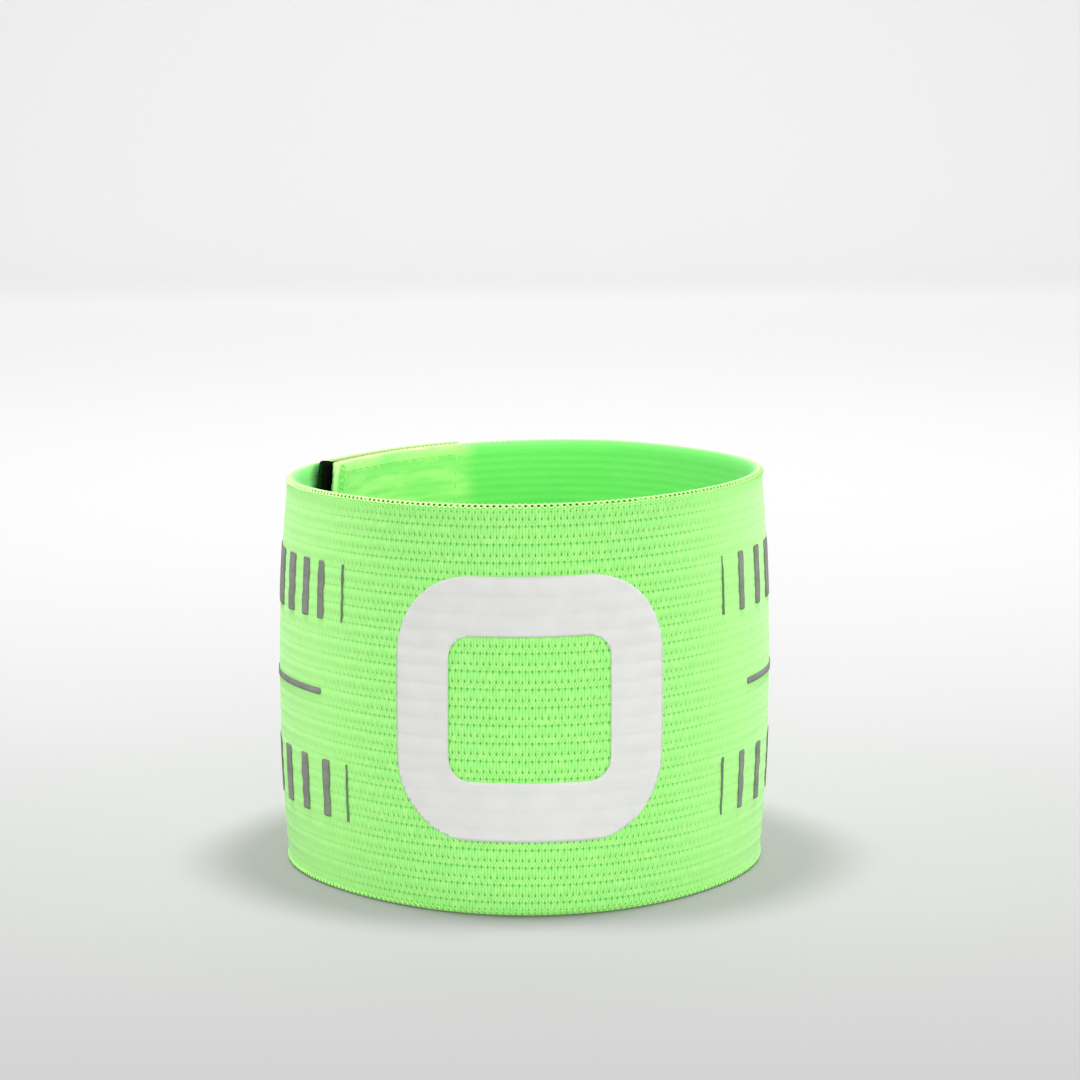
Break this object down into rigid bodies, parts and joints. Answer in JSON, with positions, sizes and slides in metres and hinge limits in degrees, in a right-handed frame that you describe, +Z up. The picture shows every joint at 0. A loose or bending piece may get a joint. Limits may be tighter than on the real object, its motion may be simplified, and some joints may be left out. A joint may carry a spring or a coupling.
{
  "type": "captain armband",
  "caption": "Ribbed lime green elastic armband, closed into a loop by a hook and loop lap, with a white film frame in front and grey bars at the sides.",
  "frame": {"origin": "middle of the loop's footprint, on the plane of its lower rim", "axes": "+Z up along the arm, -Y to the front that carries the frame, +X to the right as seen from the front"},
  "size_m": [0.0898, 0.0998, 0.0706],
  "materials": {
    "elastic": "matte ribbed warp-knit elastic, fluorescent lime green, with rows of darker pits between the ribs",
    "pad_black": "matte black hook and loop tape with a fuzzy pile",
    "film_white": "matte white heat-pressed film with a faint print-through of the ribs",
    "film_grey": "matte grey heat-pressed film"
  },
  "bodies": {
    "root": {"band": "elastic", "bar_lower_left_1": "film_grey", "bar_lower_left_2": "film_grey", "bar_lower_left_3": "film_grey", "bar_lower_left_4": "film_grey", "bar_lower_left_5": "film_grey", "bar_lower_left_6": "film_grey", "bar_lower_right_1": "film_grey", "bar_lower_right_2": "film_grey", "bar_lower_right_3": "film_grey", "bar_lower_right_4": "film_grey", "bar_lower_right_5": "film_grey", "bar_upper_left_1": "film_grey", "bar_upper_left_2": "film_grey", "bar_upper_left_3": "film_grey", "bar_upper_left_4": "film_grey", "bar_upper_left_5": "film_grey", "bar_upper_left_6": "film_grey", "bar_upper_right_1": "film_grey", "bar_upper_right_2": "film_grey", "bar_upper_right_3": "film_grey", "bar_upper_right_4": "film_grey", "bar_upper_right_5": "film_grey", "dash_left": "film_grey", "dash_right": "film_grey", "front_frame": "film_white", "hook_pad": "pad_black", "loop_pad": "pad_black"}
  },
  "joints": []
}
